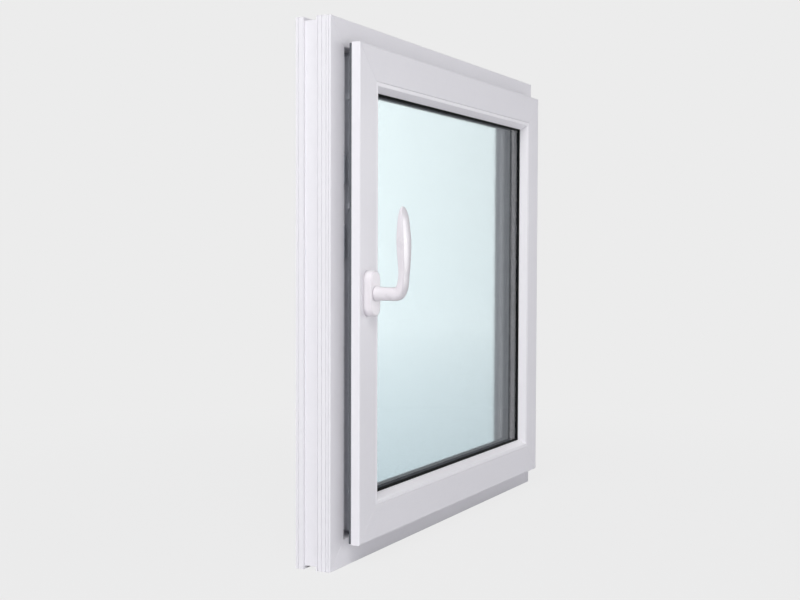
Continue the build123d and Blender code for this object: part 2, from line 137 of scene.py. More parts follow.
@dataclass(frozen=True)
class ExtrudedPvc:
    """Unplasticised PVC, extruded and calibrated.

    It gives the eye an even cool white with a satin gloss, faint lines drawn along the bar by the
    die, and a slight cloudiness. The die's lines and the grain of a real bar are finer than half a
    millimetre, so both are drawn coarser here, at 1 to 2 mm, to show at all. Moulded caps of the
    same plastic take it too, a little duller.
    """

    name: str
    run: Run
    colour: str = "#ecebee"
    cloud_colour: str = "#e6e5e9"
    roughness: float = 0.34
    smoother: float = 0.05
    duller: float = 0.07
    line_width_mm: float = 2.2
    line_length_mm: float = 3000.0
    cloud_mm: float = 9.0
    grain_mm: float = 1.1
    grain_share: float = 0.35
    relief_mm: float = 0.15

    def build(self) -> bpy.types.Material:
        """Build the material.

        Returns:
            The finished material.
        """
        material, tree = start_material(self.name)
        place = add_node(tree, "ShaderNodeTexCoord").outputs["Object"]
        across, along = 1 / (self.line_width_mm * MM), 1 / (self.line_length_mm * MM)
        stretch = (across, across, along) if self.run is Run.UPRIGHT else (along, across, across)
        drawn = add_node(tree, "ShaderNodeMapping", inputs={"Vector": place, "Scale": stretch})
        lines = add_node(tree, "ShaderNodeTexNoise", inputs={
            "Vector": drawn.outputs[0], "Scale": 1.0, "Detail": 2.0, "Roughness": 0.5})
        clouds = add_node(tree, "ShaderNodeTexNoise", inputs={
            "Vector": place, "Scale": 1 / (self.cloud_mm * MM), "Detail": 3.0, "Roughness": 0.55})
        grain = add_node(tree, "ShaderNodeTexNoise", inputs={
            "Vector": place, "Scale": 1 / (self.grain_mm * MM), "Detail": 1.0, "Roughness": 0.5})
        half_lines = add_node(tree, "ShaderNodeMath", {"operation": "MULTIPLY"}, {
            0: lines.outputs["Fac"], 1: 0.5})
        tone = add_node(tree, "ShaderNodeMath", {"operation": "MULTIPLY_ADD"}, {
            0: clouds.outputs["Fac"], 1: 0.5, 2: half_lines.outputs[0]})
        colour = add_node(tree, "ShaderNodeMix", {"data_type": "RGBA"}, {
            "Factor": tone.outputs[0], "A": linear_rgba(self.cloud_colour),
            "B": linear_rgba(self.colour)})
        dull = add_node(tree, "ShaderNodeMapRange", inputs={
            "Value": clouds.outputs["Fac"], "To Min": self.roughness - self.smoother,
            "To Max": self.roughness + self.duller})
        height = add_node(tree, "ShaderNodeMath", {"operation": "MULTIPLY_ADD"}, {
            0: grain.outputs["Fac"], 1: self.grain_share, 2: lines.outputs["Fac"]})
        relief = add_node(tree, "ShaderNodeBump", inputs={
            "Strength": 0.1, "Distance": self.relief_mm * MM, "Height": height.outputs[0]})
        shader = add_node(tree, "ShaderNodeBsdfPrincipled", inputs={
            "Base Color": colour.outputs["Result"], "Roughness": dull.outputs["Result"],
            "IOR": 1.53, "Normal": relief.outputs["Normal"]})
        add_node(tree, "ShaderNodeOutputMaterial", inputs={"Surface": shader.outputs[0]})
        return material


@dataclass(frozen=True)
class LacqueredCasting:
    """White stoving lacquer over an aluminium die casting.

    It gives the eye a warm white under a clear gloss, with the slight orange peel of sprayed
    lacquer at its real width and faint patches where the coat is thicker.
    """

    name: str
    colour: str = "#ece8ec"
    patch_colour: str = "#e6e2e6"
    roughness: float = 0.28
    smoother: float = 0.04
    duller: float = 0.06
    patch_mm: float = 22.0
    peel_mm: float = 1.4
    peel_relief_mm: float = 0.12
    coat_weight: float = 0.9
    coat_roughness: float = 0.26
    coat_ior: float = 1.6

    def build(self) -> bpy.types.Material:
        """Build the material.

        Returns:
            The finished material.
        """
        material, tree = start_material(self.name)
        place = add_node(tree, "ShaderNodeTexCoord").outputs["Object"]
        peel = add_node(tree, "ShaderNodeTexNoise", inputs={
            "Vector": place, "Scale": 1 / (self.peel_mm * MM), "Detail": 1.5, "Roughness": 0.45})
        patches = add_node(tree, "ShaderNodeTexNoise", inputs={
            "Vector": place, "Scale": 1 / (self.patch_mm * MM), "Detail": 2.0})
        colour = add_node(tree, "ShaderNodeMix", {"data_type": "RGBA"}, {
            "Factor": patches.outputs["Fac"], "A": linear_rgba(self.patch_colour),
            "B": linear_rgba(self.colour)})
        dull = add_node(tree, "ShaderNodeMapRange", inputs={
            "Value": patches.outputs["Fac"], "To Min": self.roughness - self.smoother,
            "To Max": self.roughness + self.duller})
        relief = add_node(tree, "ShaderNodeBump", inputs={
            "Strength": 0.12, "Distance": self.peel_relief_mm * MM, "Height": peel.outputs["Fac"]})
        shader = add_node(tree, "ShaderNodeBsdfPrincipled", inputs={
            "Base Color": colour.outputs["Result"], "Roughness": dull.outputs["Result"],
            "IOR": 1.5, "Coat Weight": self.coat_weight, "Coat Roughness": self.coat_roughness,
            "Coat IOR": self.coat_ior, "Normal": relief.outputs["Normal"]})
        add_node(tree, "ShaderNodeOutputMaterial", inputs={"Surface": shader.outputs[0]})
        return material


@dataclass(frozen=True)
class FloatGlass:
    """Soda-lime glass, floated or finely satined on its surface.

    It gives the eye a pale aqua body and mirrors the room at a slant. The satined sheet has a
    faint grain. On a real sheet it is finer than a tenth of a millimetre, too fine to show, so it
    is drawn at 6 mm here.
    """

    name: str
    colour: str
    grain_colour: str
    haze: float = 0.0
    haze_spread: float = 0.3
    grain_mm: float = 6.0

    def build(self) -> bpy.types.Material:
        """Build the material.

        Returns:
            The finished material.
        """
        material, tree = start_material(self.name)
        place = add_node(tree, "ShaderNodeTexCoord").outputs["Object"]
        grain = add_node(tree, "ShaderNodeTexNoise", inputs={
            "Vector": place, "Scale": 1 / (self.grain_mm * MM), "Detail": 2.0, "Roughness": 0.6})
        colour = add_node(tree, "ShaderNodeMix", {"data_type": "RGBA"}, {
            "Factor": grain.outputs["Fac"], "A": linear_rgba(self.grain_colour),
            "B": linear_rgba(self.colour)})
        dull = add_node(tree, "ShaderNodeMapRange", inputs={
            "Value": grain.outputs["Fac"], "To Min": (1 - self.haze_spread) * self.haze,
            "To Max": (1 + self.haze_spread) * self.haze})
        shader = add_node(tree, "ShaderNodeBsdfPrincipled", inputs={
            "Base Color": colour.outputs["Result"], "Roughness": dull.outputs["Result"],
            "IOR": 1.5, "Transmission Weight": 1.0})
        add_node(tree, "ShaderNodeOutputMaterial", inputs={"Surface": shader.outputs[0]})
        return material


@dataclass(frozen=True)
class EpdmRubber:
    """EPDM rubber, extruded and cured.

    It gives the eye a matt grey or near-black, a little cloudy with dust.
    """

    name: str
    colour: str
    dust_colour: str
    roughness: float = 0.75
    dust_mm: float = 4.0
    relief_mm: float = 0.1

    def build(self) -> bpy.types.Material:
        """Build the material.

        Returns:
            The finished material.
        """
        material, tree = start_material(self.name)
        place = add_node(tree, "ShaderNodeTexCoord").outputs["Object"]
        dust = add_node(tree, "ShaderNodeTexNoise", inputs={
            "Vector": place, "Scale": 1 / (self.dust_mm * MM), "Detail": 4.0, "Roughness": 0.6})
        colour = add_node(tree, "ShaderNodeMix", {"data_type": "RGBA"}, {
            "Factor": dust.outputs["Fac"], "A": linear_rgba(self.colour),
            "B": linear_rgba(self.dust_colour)})
        relief = add_node(tree, "ShaderNodeBump", inputs={
            "Strength": 0.2, "Distance": self.relief_mm * MM, "Height": dust.outputs["Fac"]})
        shader = add_node(tree, "ShaderNodeBsdfPrincipled", inputs={
            "Base Color": colour.outputs["Result"], "Roughness": self.roughness,
            "Specular IOR Level": 0.25, "Normal": relief.outputs["Normal"]})
        add_node(tree, "ShaderNodeOutputMaterial", inputs={"Surface": shader.outputs[0]})
        return material


@dataclass(frozen=True)
class BrightMetal:
    """Zinc-plated steel or zinc casting.

    It gives the eye a blue-white metal whose gloss is softly clouded by the plating bath.
    """

    name: str
    colour: str
    dark_colour: str
    roughness: float
    cloud_mm: float = 5.0
    smoother: float = 0.04
    duller: float = 0.06
    relief_mm: float = 0.04

    def build(self) -> bpy.types.Material:
        """Build the material.

        Returns:
            The finished material.
        """
        material, tree = start_material(self.name)
        place = add_node(tree, "ShaderNodeTexCoord").outputs["Object"]
        clouds = add_node(tree, "ShaderNodeTexNoise", inputs={
            "Vector": place, "Scale": 1 / (self.cloud_mm * MM), "Detail": 4.0, "Roughness": 0.6})
        colour = add_node(tree, "ShaderNodeMix", {"data_type": "RGBA"}, {
            "Factor": clouds.outputs["Fac"], "A": linear_rgba(self.dark_colour),
            "B": linear_rgba(self.colour)})
        dull = add_node(tree, "ShaderNodeMapRange", inputs={
            "Value": clouds.outputs["Fac"], "To Min": self.roughness - self.smoother,
            "To Max": self.roughness + self.duller})
        relief = add_node(tree, "ShaderNodeBump", inputs={
            "Strength": 0.06, "Distance": self.relief_mm * MM, "Height": clouds.outputs["Fac"]})
        shader = add_node(tree, "ShaderNodeBsdfPrincipled", inputs={
            "Base Color": colour.outputs["Result"], "Metallic": 1.0,
            "Roughness": dull.outputs["Result"], "Normal": relief.outputs["Normal"]})
        add_node(tree, "ShaderNodeOutputMaterial", inputs={"Surface": shader.outputs[0]})
        return material


@dataclass(frozen=True)
class AnodisedSpacer:
    """Dark anodised aluminium spacer, its oxide skin matt.

    It gives the eye a soft slate grey with the fine cloudiness of the anodising bath. Its darkness
    is partly painted shade for the deep glazing cavity.
    """

    name: str
    colour: str
    dark_colour: str
    roughness: float = 0.5
    roughness_spread: float = 0.05
    cloud_mm: float = 3.0

    def build(self) -> bpy.types.Material:
        """Build the material.

        Returns:
            The finished material.
        """
        material, tree = start_material(self.name)
        place = add_node(tree, "ShaderNodeTexCoord").outputs["Object"]
        clouds = add_node(tree, "ShaderNodeTexNoise", inputs={
            "Vector": place, "Scale": 1 / (self.cloud_mm * MM), "Detail": 3.0, "Roughness": 0.55})
        colour = add_node(tree, "ShaderNodeMix", {"data_type": "RGBA"}, {
            "Factor": clouds.outputs["Fac"], "A": linear_rgba(self.dark_colour),
            "B": linear_rgba(self.colour)})
        dull = add_node(tree, "ShaderNodeMapRange", inputs={
            "Value": clouds.outputs["Fac"], "To Min": self.roughness - self.roughness_spread,
            "To Max": self.roughness + self.roughness_spread})
        shader = add_node(tree, "ShaderNodeBsdfPrincipled", inputs={
            "Base Color": colour.outputs["Result"], "Roughness": dull.outputs["Result"],
            "Specular IOR Level": 0.1})
        add_node(tree, "ShaderNodeOutputMaterial", inputs={"Surface": shader.outputs[0]})
        return material


def finish_piece(name: str, mesh: bpy.types.Mesh, body: Body,
                 stands_for: Sequence[str] = ()) -> bpy.types.Object:
    """Make a finished mesh a piece of the window.

    Args:
        name: Name of the piece.
        mesh: Its mesh, in place, with its material.
        body: Body that it moves with.
        stands_for: CAD nodes that it is shown instead of.

    Returns:
        The piece.
    """
    piece = bpy.data.objects.new(name, mesh)
    bpy.context.scene.collection.objects.link(piece)
    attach(piece, body.value)
    if stands_for:
        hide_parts(*stands_for)
    LOG.info("%s: %d faces, rides on %s", name, len(mesh.polygons), body.value)
    return piece


def skin_mesh(name: str, loops: Sequence[Sequence[Vector]],
              material: bpy.types.Material) -> bpy.types.Mesh:
    """Build a closed smooth skin over a row of loops.

    Args:
        name: Name of the mesh.
        loops: Loops with the same number of points, one after the other.
        material: Finish of the skin.

    Returns:
        The mesh.
    """
    form = bmesh.new()
    rings = [[form.verts.new(point) for point in loop] for loop in loops]
    count = len(rings[0])
    for lower, upper in zip(rings, rings[1:]):
        for number in range(count):
            following = (number + 1) % count
            form.faces.new((lower[number], lower[following], upper[following], upper[number]))
    form.faces.new(rings[0])
    form.faces.new(rings[-1])
    bmesh.ops.recalc_face_normals(form, faces=form.faces)
    for face in form.faces:
        face.smooth = len(face.verts) == 4
    mesh = bpy.data.meshes.new(name)
    form.to_mesh(mesh)
    form.free()
    mesh.materials.append(material)
    return mesh


@dataclass
class OuterFrame:
    """Mitred frame with its stop seal and drain caps."""

    uprights: tuple[str, ...] = ("frame_left_jamb", "frame_right_jamb")
    crosses: tuple[str, ...] = ("frame_head", "frame_sill")
    seals: tuple[str, ...] = ("frame_seal", "sash_seal")

    def dress(self) -> None:
        """Give the frame its plastic and its caps, and both seals their rubber."""
        dress_nodes(self.uprights, ExtrudedPvc("white_pvc_extruded_upright", Run.UPRIGHT).build())
        dress_nodes(self.crosses, ExtrudedPvc("white_pvc_extruded_cross", Run.CROSS).build())
        caps = ExtrudedPvc("white_pvc_moulded", Run.CROSS, roughness=0.4)
        dress_nodes(("drain_caps",), caps.build())
        dress_nodes(self.seals, EpdmRubber("epdm_seal_grey", "#54575c", "#63666b").build())


@dataclass
class Sash:
    """Sash profiles with their glazing beads."""

    uprights: tuple[str, ...] = ("sash_left_stile", "sash_right_stile")
    crosses: tuple[str, ...] = ("sash_top_rail", "sash_bottom_rail")
    bead_uprights: tuple[str, ...] = ("bead_left", "bead_right")
    bead_crosses: tuple[str, ...] = ("bead_top", "bead_bottom")

    def dress(self) -> None:
        """Give the sash bars their plastic, and the beads theirs, glossier and painted whiter as
        painted light.
        """
        dress_nodes(self.uprights, ExtrudedPvc("white_pvc_sash_upright", Run.UPRIGHT).build())
        dress_nodes(self.crosses, ExtrudedPvc("white_pvc_sash_cross", Run.CROSS).build())
        # The beads' whiter colour is painted light: it is the sash plastic made brighter for the
        # light on the bead slopes.
        upright = ExtrudedPvc("white_pvc_bead_upright_painted_light", Run.UPRIGHT, colour="#f8f7fa",
                              cloud_colour="#f3f2f5", roughness=0.3, line_width_mm=1.4)
        dress_nodes(self.bead_uprights, upright.build())
        cross = replace(upright, name="white_pvc_bead_cross_painted_light", run=Run.CROSS)
        dress_nodes(self.bead_crosses, cross.build())


@dataclass
class SealedUnit:
    """Two panes on a spacer between two gaskets."""

    outer_haze: float = 0.07
    gaskets: tuple[str, ...] = ("inner_glazing_gasket", "outer_glazing_gasket")

    def dress(self) -> None:
        """Give the panes, the spacer and the gaskets their finishes."""
        clear = FloatGlass("float_glass_clear", "#f2f4f4", "#f0f3f3")
        dress_nodes(("inner_pane",), clear.build())
        satined = FloatGlass("float_glass_satined", "#f7fbfb", "#e4eaea", self.outer_haze)
        dress_nodes(("outer_pane",), satined.build())
        # The spacer's dark slate colour is partly painted shade, darker than the metal for the
        # shade deep in the glazing cavity.
        spacer = AnodisedSpacer("aluminium_spacer_anodised_with_painted_shade", "#1c2a38", "#15202b")
        dress_nodes(("pane_spacer",), spacer.build())
        dress_nodes(self.gaskets, EpdmRubber("epdm_gasket_black", "#050606", "#0c0d0e").build())


@dataclass
class ScrewRow:
    """Low-headed screws with a round recess, set by a Geometry Nodes tree on given points."""

    head_radius: float = 3.1 * MM
    head_height: float = 1.0 * MM
    crown_height: float = 0.35 * MM
    crown_share: float = 0.82
    recess_share: float = 0.5
    recess_depth: float = 0.7 * MM
    facets: int = 18

    def sizes(self) -> dict[str, float]:
        """Name the tree's sizes."""
        return {"Head Radius": self.head_radius, "Head Height": self.head_height,
                "Crown Height": self.crown_height, "Crown Share": self.crown_share,
                "Recess Share": self.recess_share, "Recess Depth": self.recess_depth}

    def tree(self) -> bpy.types.GeometryNodeTree:
        """Build the tree that sets one screw head on every point, turned to the point's facing.

        Returns:
            The tree, with the sizes and the material as its named inputs.
        """
        tree = bpy.data.node_groups.new("screw_row", "GeometryNodeTree")
        face = tree.interface
        face.new_socket("Points", in_out="INPUT", socket_type="NodeSocketGeometry")
        for name in self.sizes():
            face.new_socket(name, in_out="INPUT", socket_type="NodeSocketFloat")
        face.new_socket("Facets", in_out="INPUT", socket_type="NodeSocketInt")
        face.new_socket("Material", in_out="INPUT", socket_type="NodeSocketMaterial")
        face.new_socket("Screws", in_out="OUTPUT", socket_type="NodeSocketGeometry")
        given = add_node(tree, "NodeGroupInput").outputs
        head = add_node(tree, "GeometryNodeMeshCylinder", {"fill_type": "NGON"}, {
            "Vertices": given["Facets"], "Radius": given["Head Radius"],
            "Depth": given["Head Height"]})
        facing = add_node(tree, "GeometryNodeInputNormal")
        apart = add_node(tree, "ShaderNodeSeparateXYZ", inputs={0: facing.outputs[0]})
        above = {"data_type": "FLOAT", "operation": "GREATER_THAN"}
        top = add_node(tree, "FunctionNodeCompare", above, {0: apart.outputs["Z"], 1: 0.9})
        crown = add_node(tree, "GeometryNodeExtrudeMesh", {"mode": "FACES"}, {
            "Mesh": head.outputs["Mesh"], "Selection": top.outputs[0],
            "Offset Scale": given["Crown Height"]})
        crown_in = add_node(tree, "GeometryNodeScaleElements", {"domain": "FACE"}, {
            "Geometry": crown.outputs["Mesh"], "Selection": crown.outputs["Top"],
            "Scale": given["Crown Share"]})
        rim = add_node(tree, "GeometryNodeExtrudeMesh", {"mode": "FACES"}, {
            "Mesh": crown_in.outputs[0], "Selection": crown.outputs["Top"], "Offset Scale": 0.0})
        rim_in = add_node(tree, "GeometryNodeScaleElements", {"domain": "FACE"}, {
            "Geometry": rim.outputs["Mesh"], "Selection": rim.outputs["Top"],
            "Scale": given["Recess Share"]})
        down = add_node(tree, "ShaderNodeMath", {"operation": "MULTIPLY"}, {
            0: given["Recess Depth"], 1: -1.0})
        recess = add_node(tree, "GeometryNodeExtrudeMesh", {"mode": "FACES"}, {
            "Mesh": rim_in.outputs[0], "Selection": rim.outputs["Top"],
            "Offset Scale": down.outputs[0]})
        axis = add_node(tree, "GeometryNodeInputNamedAttribute", {"data_type": "FLOAT_VECTOR"}, {
            "Name": "facing"})
        turn = add_node(tree, "FunctionNodeAlignEulerToVector", {"axis": "Z"}, {
            "Vector": axis.outputs[0]})
        rows = add_node(tree, "GeometryNodeInstanceOnPoints", inputs={
            "Points": given["Points"], "Instance": recess.outputs["Mesh"],
            "Rotation": turn.outputs[0]})
        real = add_node(tree, "GeometryNodeRealizeInstances", inputs={"Geometry": rows.outputs[0]})
        painted = add_node(tree, "GeometryNodeSetMaterial", inputs={
            "Geometry": real.outputs[0], "Material": given["Material"]})
        add_node(tree, "NodeGroupOutput", inputs={0: painted.outputs[0]})
        return tree

    def mesh(self, name: str, points: Sequence[Vector], facings: Sequence[Vector],
             material: bpy.types.Material) -> bpy.types.Mesh:
        """Run the tree on points and return the plain mesh.

        Args:
            name: Name of the mesh.
            points: Seats of the screws, in metres.
            facings: Direction of each screw's head.
            material: Finish of the screws.

        Returns:
            The mesh of all the screws.
        """
        seats = bpy.data.meshes.new(name + "_seats")
        seats.from_pydata([tuple(p) for p in points], [], [])
        attribute = seats.attributes.new("facing", "FLOAT_VECTOR", "POINT")
        attribute.data.foreach_set("vector", [value for facing in facings for value in facing])
        holder = bpy.data.objects.new(name + "_seats", seats)
        bpy.context.scene.collection.objects.link(holder)
        modifier = holder.modifiers.new("screws", "NODES")
        modifier.node_group = self.tree()
        values = {**self.sizes(), "Facets": self.facets, "Material": material}
        for socket in modifier.node_group.interface.items_tree:
            if socket.in_out == "INPUT" and socket.name in values:
                modifier[socket.identifier] = values[socket.name]
        evaluated = holder.evaluated_get(bpy.context.evaluated_depsgraph_get())
        mesh = bpy.data.meshes.new_from_object(evaluated)
        mesh.name = name
        holder.modifiers.clear()
        bpy.data.objects.remove(holder)
        return mesh


@dataclass
class Hardware:
    """Strikers, rails, cams and bearings, with the screws that hold them.

    A striker is given by how far its middle lies below the window's top, and by its length. The
    strikers of the head and the sill are as long as the upper ones of the jambs.
    """

    window_side: float = 830.0 * MM
    frame_room_y: float = -19.0 * MM
    frame_face: float = 42.0 * MM
    keep_base: float = 2.5 * MM
    keep_screw_depth: float = 14.8 * MM
    upper_keep: tuple[float, float] = (224.0 * MM, 44.0 * MM)
    lower_keep: tuple[float, float] = (334.0 * MM, 50.0 * MM)
    cross_keep_offset: float = 130.0 * MM
    bearing_height: float = 7.0 * MM
    bearing_offset: float = 110.0 * MM
    bearing_screw_step: float = 17.0 * MM
    bearing_middle: float = 21.0 * MM
    rail_screw_pitch: float = 150.0 * MM
    rail_screw_end: float = 60.0 * MM
    plated: tuple[str, ...] = ("left_keeps", "right_keeps", "head_keeps", "sill_keeps",
                               "corner_bearings")
    rolled: tuple[str, ...] = ("lock_rail_left", "lock_rail_right", "lock_rail_top",
                               "lock_rail_bottom", "locking_cams", "guide_pins",
                               "handle_spindle")

    def dress(self) -> None:
        """Give the hardware its metals and add its screws."""
        casting = BrightMetal("zinc_die_casting_plated", "#d4d6da", "#c6c9ce", 0.42).build()
        steel = BrightMetal("steel_zinc_plated", "#dcdee2", "#d0d3d8", 0.38, 8.0).build()
        screw = BrightMetal("steel_screw_zinc_plated", "#d8dadd", "#c4c7cc", 0.34, 2.0).build()
        dress_nodes(self.plated, casting)
        dress_nodes(self.rolled, steel)
        row = ScrewRow()
        finish_piece("rail_screws", row.mesh("rail_screws", *self.rail_seats(), screw),
                     Body.SASH)
        finish_piece("frame_screws", row.mesh("frame_screws", *self.frame_seats(), screw),
                     Body.FRAME)

    def rail_seats(self) -> tuple[list[Vector], list[Vector]]:
        """Find the seats of the screws along the four rails.

        Returns:
            The points on the faces of the rails and their outward directions.
        """
        outward = {"lock_rail_left": Vector((-1, 0, 0)), "lock_rail_right": Vector((1, 0, 0)),
                   "lock_rail_top": Vector((0, 0, 1)), "lock_rail_bottom": Vector((0, 0, -1))}
        points, facings = [], []
        for name, facing in outward.items():
            low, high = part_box(name)
            centre = (low + high) / 2
            along = Vector((0, 0, 1)) if facing.x else Vector((1, 0, 0))
            length = (high - low).dot(along)
            count = round((length - 2 * self.rail_screw_end) / self.rail_screw_pitch)
            half = (high - low) / 2
            face = centre + Vector((half.x * facing.x, 0, half.z * facing.z))
            for number in range(count + 1):
                step = self.rail_screw_end + number * (length - 2 * self.rail_screw_end) / count
                points.append(face + along * (step - length / 2))
                facings.append(facing)
        return points, facings

    def frame_seats(self) -> tuple[list[Vector], list[Vector]]:
        """Find the seats of the screws on the strikers and on the corner bearings.

        Returns:
            The points on the metal and their directions into the window's opening.
        """
        half = self.window_side / 2
        keep_level = half - self.frame_face - self.keep_base
        bearing_level = half - self.frame_face - self.bearing_height
        keep_y = self.frame_room_y + self.keep_screw_depth
        bearing_y = self.frame_room_y + self.bearing_middle
        points, facings = [], []
        for drop, length in (self.upper_keep, self.lower_keep):
            for step in (-length / 3, length / 3):
                height = self.window_side - drop + step
                for side in (-1, 1):
                    points.append(Vector((side * keep_level, keep_y, height)))
                    facings.append(Vector((-side, 0, 0)))
        third = self.upper_keep[1] / 3
        for side in (-1, 1):
            keep_height, bearing_height = half + side * keep_level, half + side * bearing_level
            for end in (-1, 1):
                for step in (-third, third):
                    across = end * self.cross_keep_offset + step
                    points.append(Vector((across, keep_y, keep_height)))
                    facings.append(Vector((0, 0, -side)))
                for step in (-self.bearing_screw_step, self.bearing_screw_step):
                    across = end * (half - self.bearing_offset) + step
                    points.append(Vector((across, bearing_y, bearing_height)))
                    facings.append(Vector((0, 0, -side)))
        return points, facings


@dataclass
class LeverHandle:
    """Cast lever on its rosette: a round neck, a tight elbow and a leaf-shaped grip.

    The leaf's half outline runs from its back to its front, in shares of its width and thickness.
    """

    axis_x: float = -352.5 * MM
    axis_z: float = 417.4 * MM
    sash_face_y: float = -49.0 * MM
    rosette_thickness: float = 14.0 * MM
    running_fit: float = 0.3 * MM
    neck_diameter: float = 23.0 * MM
    neck_waist: float = 20.8 * MM
    grip_out: float = 59.4 * MM
    grip_width: float = 28.0 * MM
    grip_root_width: float = 21.5 * MM
    grip_thickness: float = 16.3 * MM
    grip_root_thickness: float = 12.3 * MM
    length: float = 131.0 * MM
    rosette_width: float = 31.0 * MM
    rosette_height: float = 70.0 * MM
    rosette_corner: float = 14.0 * MM
    rosette_round: float = 3.0 * MM
    arc_steps: int = 8
    points_per_corner: int = 3
    rings_per_station: int = 6
    leaf_half: tuple[tuple[float, float], ...] = (
        (0.10, -0.50), (0.22, -0.49), (0.34, -0.47), (0.43, -0.445), (0.48, -0.42),
        (0.50, -0.385), (0.49, -0.33), (0.47, -0.16), (0.45, 0.0), (0.42, 0.16),
        (0.38, 0.32), (0.30, 0.44), (0.12, 0.50))

    def stations(self) -> list[tuple[float, ...]]:
        """List the lever's sections from the rosette to the tip.

        Returns:
            For each section: out from the sash, rise above the axis, tilt in degrees, width,
            thickness, and its share of the leaf form.
        """
        start = self.rosette_thickness + self.running_fit
        out, length = self.grip_out, self.length
        width, thick, waist = self.grip_width, self.grip_thickness, self.neck_waist
        root, root_thick = self.grip_root_width, self.grip_root_thickness
        return [
            (start, 0.0, 0, self.neck_diameter, self.neck_diameter, 0.0),
            (0.45 * out, 0.0, 0, waist, waist, 0.0),
            (0.74 * out, 0.0, 0, waist, waist, 0.0),
            (out - 8.9 * MM, 0.8 * MM, 16, waist, 1.01 * waist, 0.2),
            (out - 4.7 * MM, 3.8 * MM, 29, waist, 0.98 * waist, 0.45),
            (out - 1.8 * MM, 10.0 * MM, 45, root, 0.84 * waist, 0.75),
            (out - 0.2 * MM, 19.0 * MM, 68, root, 1.1 * root_thick, 1.0),
            (out + 0.6 * MM, 28.0 * MM, 84, root, root_thick, 1.0),
            (out + 1.0 * MM, 0.28 * length, 90, 1.02 * root, 1.07 * root_thick, 1.0),
            (out + 0.8 * MM, 0.41 * length, 90, 0.93 * width, 0.92 * thick, 1.0),
            (out + 0.2 * MM, 0.54 * length, 91, width, thick, 1.0),
            (out - 0.2 * MM, 0.66 * length, 91, width, 0.98 * thick, 1.0),
            (out - 0.5 * MM, 0.79 * length, 91, 0.92 * width, 0.8 * thick, 1.0),
            (out - 0.7 * MM, 0.86 * length, 92, 0.83 * width, 0.7 * thick, 1.0),
            (out - 0.8 * MM, 0.92 * length, 92, 0.74 * width, 0.53 * thick, 1.0),
            (out - 0.9 * MM, 0.975 * length, 92, 0.47 * width, 0.34 * thick, 0.9),
            (out - 0.9 * MM, length, 92, 0.18 * width, 0.16 * thick, 0.6),
        ]

    @staticmethod
    def eased(before: Sequence[float], here: Sequence[float], ahead: Sequence[float],
              beyond: Sequence[float], share: float) -> list[float]:
        """Find the values a share of the way between two rows, on a smooth curve through four.

        Args:
            before: Row before the first.
            here: First row.
            ahead: Second row.
            beyond: Row after the second.
            share: From 0 at the first row to 1 at the second.

        Returns:
            The values there.
        """
        return [0.5 * (2 * p1 + (p2 - p0) * share + (2 * p0 - 5 * p1 + 4 * p2 - p3) * share ** 2
                       + (3 * p1 - p0 - 3 * p2 + p3) * share ** 3)
                for p0, p1, p2, p3 in zip(before, here, ahead, beyond)]

    def smooth_stations(self) -> list[list[float]]:
        """Fill in sections between the stations along a smooth curve.

        Returns:
            The close-set sections.
        """
        rows = self.stations()
        padded = [rows[0], *rows, rows[-1]]
        filled = []
        for four in zip(padded, padded[1:], padded[2:], padded[3:]):
            filled += [self.eased(*four, step / self.rings_per_station)
                       for step in range(self.rings_per_station)]
        filled.append(list(rows[-1]))
        return filled

    def ring(self, section: Sequence[float]) -> list[Vector]:
        """Place one section's loop.

        Args:
            section: One row of the sections.

        Returns:
            Its points, in metres.
        """
        out, rise, tilt, width, thickness, leaf = section
        right = []
        for number, (across, through) in enumerate(self.leaf_half):
            turn = math.pi * ((number + 0.5) / len(self.leaf_half) - 0.5)
            right.append((width * ((1 - leaf) * math.cos(turn) / 2 + leaf * across),
                          thickness * ((1 - leaf) * math.sin(turn) / 2 + leaf * through)))
        corners = right + [(-across, through) for across, through in reversed(right)]
        lean = math.radians(tilt)
        centre = Vector((self.axis_x, self.sash_face_y - out, self.axis_z + rise))
        side, back = Vector((1, 0, 0)), Vector((0, math.sin(lean), math.cos(lean)))
        points = []
        for number in range(len(corners)):
            four = [corners[(number + step) % len(corners)] for step in (-1, 0, 1, 2)]
            for step in range(self.points_per_corner):
                across, through = self.eased(*four, step / self.points_per_corner)
                points.append(centre + side * across + back * through)
        return points

    def lever_mesh(self, material: bpy.types.Material) -> bpy.types.Mesh:
        """Build the closed skin of the lever in its lacquer."""
        rings = [self.ring(section) for section in self.smooth_stations()]
        return skin_mesh("lever_skin", rings, material)

    def rosette_loop(self, inset: float, out: float) -> list[Vector]:
        """Place one outline of the rosette.

        Args:
            inset: How far the outline is drawn in from the widest one.
            out: Distance from the sash towards the room.

        Returns:
            Its points, in metres.
        """
        corner = self.rosette_corner - inset
        reach_x = self.rosette_width / 2 - self.rosette_corner
        reach_z = self.rosette_height / 2 - self.rosette_corner
        points = []
        for quarter, (sign_x, sign_z) in enumerate(((1, 1), (-1, 1), (-1, -1), (1, -1))):
            for step in range(self.arc_steps + 1):
                turn = math.radians(90 * quarter + 90 * step / self.arc_steps)
                points.append(Vector((
                    self.axis_x + sign_x * reach_x + corner * math.cos(turn),
                    self.sash_face_y - out,
                    self.axis_z + sign_z * reach_z + corner * math.sin(turn))))
        return points

    def rosette_mesh(self, material: bpy.types.Material) -> bpy.types.Mesh:
        """Build the rosette with its rounded front edge.

        Args:
            material: Its lacquer.

        Returns:
            The mesh.
        """
        radius, thickness = self.rosette_round, self.rosette_thickness
        loops = [self.rosette_loop(0.0, 0.0), self.rosette_loop(0.0, 0.5 * (thickness - radius))]
        for step in range(self.arc_steps + 1):
            turn = math.radians(90 * step / self.arc_steps)
            loops.append(self.rosette_loop(radius * (1 - math.cos(turn)),
                                           thickness - radius * (1 - math.sin(turn))))
        return skin_mesh("rosette_cover", loops, material)

